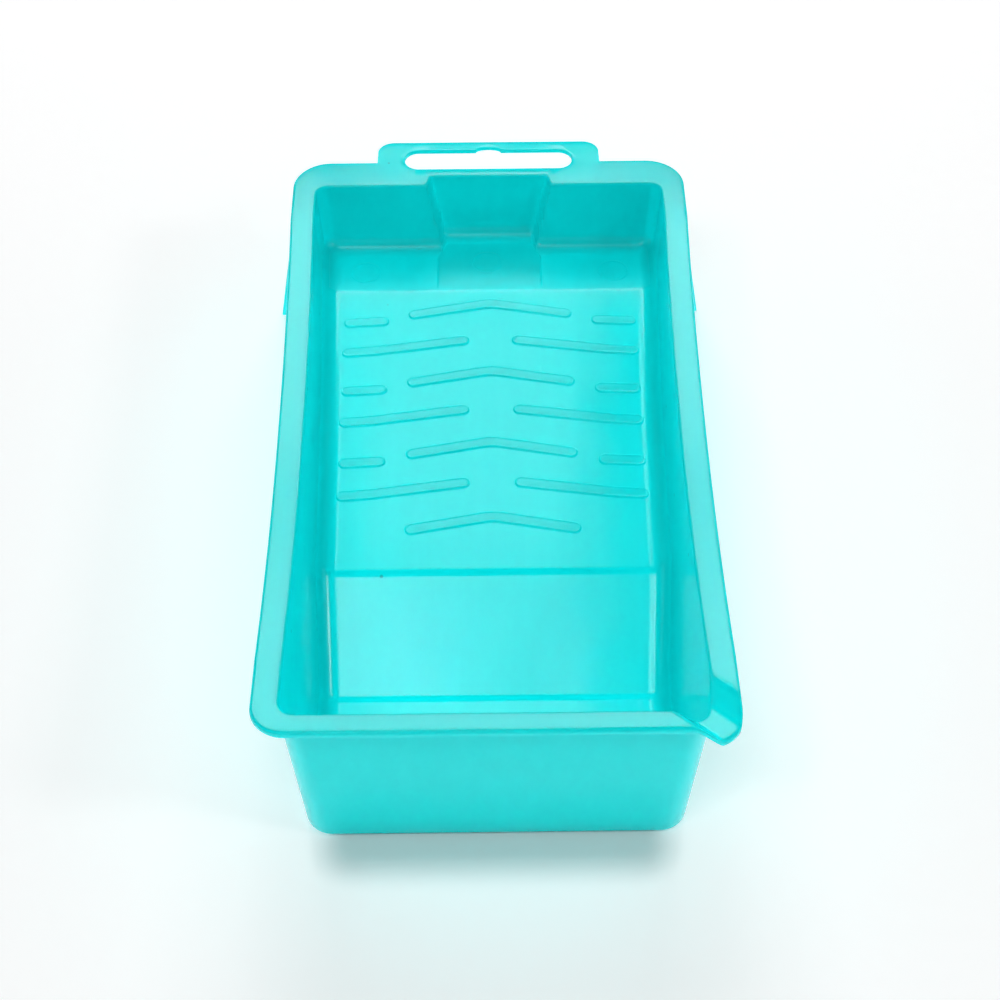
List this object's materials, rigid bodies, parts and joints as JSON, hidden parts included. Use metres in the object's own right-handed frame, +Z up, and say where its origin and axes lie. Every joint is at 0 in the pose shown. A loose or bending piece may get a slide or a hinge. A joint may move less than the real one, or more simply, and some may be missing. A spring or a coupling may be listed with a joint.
{
  "type": "paint roller tray",
  "caption": "Small one-piece moulded roller tray with a deep well, a ribbed ramp, a corner spout, rear legs and a slotted hanging tab.",
  "frame": {"origin": "centre of the bounding box's bottom face, on the surface that the tray stands on", "axes": "+X across the tray towards the side with the spout, +Y from the deep well end to the hanging tab, +Z up"},
  "size_m": [0.178, 0.3012, 0.0768],
  "materials": {
    "body": "glossy injection-moulded polypropylene"
  },
  "bodies": {
    "root": {"tray": "body"}
  },
  "joints": []
}
